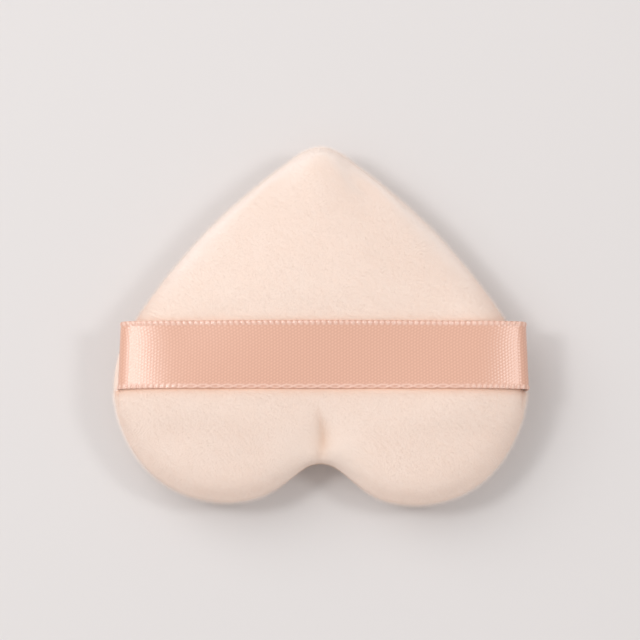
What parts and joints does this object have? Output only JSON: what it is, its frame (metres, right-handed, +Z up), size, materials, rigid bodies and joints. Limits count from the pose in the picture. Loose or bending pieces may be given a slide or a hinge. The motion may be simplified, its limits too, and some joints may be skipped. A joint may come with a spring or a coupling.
{
  "type": "powder puff",
  "caption": "Heart-shaped velour powder puff with a sponge filling and a satin ribbon across its front that lifts to let fingers under it.",
  "frame": {"origin": "middle of the puff's bounding box, on the surface that it lies on", "axes": "+X along the ribbon, to the right in the picture; +Y to the tip of the heart; +Z up, out of the ribbon side"},
  "size_m": [0.0628, 0.053, 0.0128],
  "materials": {
    "velour": "short brushed pile, matt",
    "sponge": "open-cell foam, matt",
    "satin": "satin weave with a soft sheen",
    "thread": "spun polyester, slight sheen"
  },
  "bodies": {
    "puff": {"front_panel": "velour", "back_panel": "velour", "sponge_core": "sponge", "seam_thread": "thread", "closing_thread": "thread", "ribbon_tack_left": "thread", "ribbon_tack_right": "thread"},
    "band": {"satin_ribbon": "satin"}
  },
  "joints": [
    {"name": "band_lift", "type": "slide", "parent": "puff", "child": "band", "axis": [0, 0, 1], "range_m": [0, 0.008], "deforming": ["satin_ribbon"]}
  ]
}
